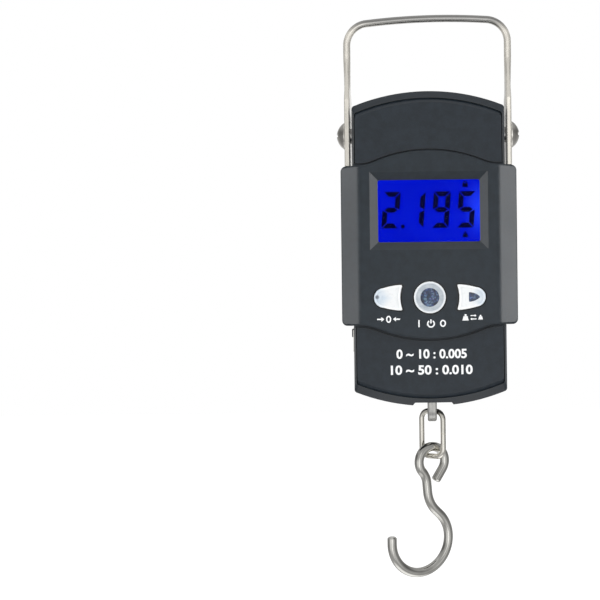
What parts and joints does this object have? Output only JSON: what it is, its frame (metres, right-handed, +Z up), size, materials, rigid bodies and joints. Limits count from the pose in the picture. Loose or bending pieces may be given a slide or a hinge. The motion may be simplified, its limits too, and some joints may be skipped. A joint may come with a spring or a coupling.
{
  "type": "digital fish scale",
  "caption": "Hand-held digital hanging scale with a folding metal bail, backlit display, push buttons, load-cell pull tab, swinging link and hook, and a pull-out tape.",
  "frame": {"origin": "middle of the bail's grip, on the rod's centreline", "axes": "+Z up along the hanging scale, +X to the right of a person reading the display, +Y away from them"},
  "size_m": [0.0696, 0.0282, 0.2139],
  "materials": {
    "polished_steel": "polished stainless steel",
    "case_plastic": "fine spark texture",
    "fascia_plastic": "fine spark texture",
    "clear_window": "clear, smooth",
    "display_blue": "backlit blue",
    "light_guide": "milky",
    "inner_plastic": "natural moulding",
    "elastomer": "matt",
    "board_green": "solder mask",
    "chip_black": "matt moulding",
    "plated_steel": "nickel plated",
    "cell_alloy": "dull ground",
    "gauge_film": "polyimide film",
    "wire_red": "insulation",
    "battery_wrap": "printed sleeve, plain",
    "button_white": "milky translucent",
    "button_window": "tinted",
    "tape_yellow": "enamelled steel",
    "print_white": "screen-printed ink",
    "print_black": "printed ink",
    "display_segments": "display segments over the backlight"
  },
  "bodies": {
    "bail": {"bail": "polished_steel"},
    "case": {"front_cover": "case_plastic", "back_cover": "case_plastic", "fascia": "fascia_plastic", "display_window": "clear_window", "lcd_glass": "display_blue", "backlight": "light_guide", "lcd_holder": "inner_plastic", "zebra_strip": "elastomer", "circuit_board": "board_green", "chips": "chip_black", "switch_housings": "chip_black", "board_screws": "plated_steel", "pivot_shaft": "plated_steel", "pivot_screws": "polished_steel", "pivot_spacers": "plated_steel", "shaft_collars": "plated_steel", "load_cell": "cell_alloy", "strain_gauges": "gauge_film", "gauge_wires": "wire_red", "battery_cells": "battery_wrap", "battery_springs": "plated_steel", "battery_contacts": "plated_steel", "battery_wires": "wire_red", "case_screws": "plated_steel", "drum_spindle": "plated_steel"},
    "battery_door": {"battery_door": "case_plastic"},
    "power_button": {"power_cap": "button_white", "power_lens": "button_window", "power_plunger": "inner_plastic"},
    "tare_button": {"tare_cap": "button_white", "tare_plunger": "inner_plastic"},
    "unit_button": {"unit_cap": "button_white", "unit_lens": "button_window", "unit_plunger": "inner_plastic"},
    "tape": {"tape_strip": "tape_yellow", "tape_tab": "polished_steel", "tape_tab_grip": "elastomer"},
    "tape_drum": {"tape_drum": "inner_plastic", "tape_coil": "tape_yellow", "drum_spring": "plated_steel"},
    "link": {"link": "polished_steel"},
    "hook": {"hook": "polished_steel"}
  },
  "joints": [
    {"name": "bail_pivot", "type": "hinge", "parent": "bail", "child": "case", "pos_m": [0, 0, -0.0446], "axis": [1, 0, 0], "range_deg": [-100, 160]},
    {"name": "battery_door_hinge", "type": "hinge", "parent": "case", "child": "battery_door", "pos_m": [0, 0.0121, -0.1123], "axis": [-1, 0, 0], "range_deg": [0, 60]},
    {"name": "power_press", "type": "slide", "parent": "case", "child": "power_button", "axis": [0, 1, 0], "range_m": [0, 0.0006], "stiffness_N_per_m": 2500, "springref_m": -0.0002},
    {"name": "tare_press", "type": "slide", "parent": "case", "child": "tare_button", "axis": [0, 1, 0], "range_m": [0, 0.0006], "stiffness_N_per_m": 2500, "springref_m": -0.0002},
    {"name": "unit_press", "type": "slide", "parent": "case", "child": "unit_button", "axis": [0, 1, 0], "range_m": [0, 0.0006], "stiffness_N_per_m": 2500, "springref_m": -0.0002},
    {"name": "tape_pull", "type": "slide", "parent": "case", "child": "tape", "axis": [-1, 0, 0], "range_m": [0, 0.045], "stiffness_N_per_m": 8, "springref_m": -0.03},
    {"name": "drum_spin", "type": "hinge", "parent": "case", "child": "tape_drum", "pos_m": [-0.0135, 0, -0.1234], "axis": [0, 0, 1], "range_deg": [0, 360]},
    {"name": "link_swing", "type": "hinge", "parent": "case", "child": "link", "pos_m": [0.0004, 0, -0.1499], "axis": [0.866, -0.5, 0], "range_deg": [-45, 45]},
    {"name": "hook_swing", "type": "hinge", "parent": "link", "child": "hook", "pos_m": [0, 0, -0.1671], "axis": [-0.5, 0.866, 0], "range_deg": [-25, 25]}
  ],
  "couplings": [
    {"joint": "drum_spin", "follows": "tape_pull", "rad_per_m": 138.5}
  ]
}
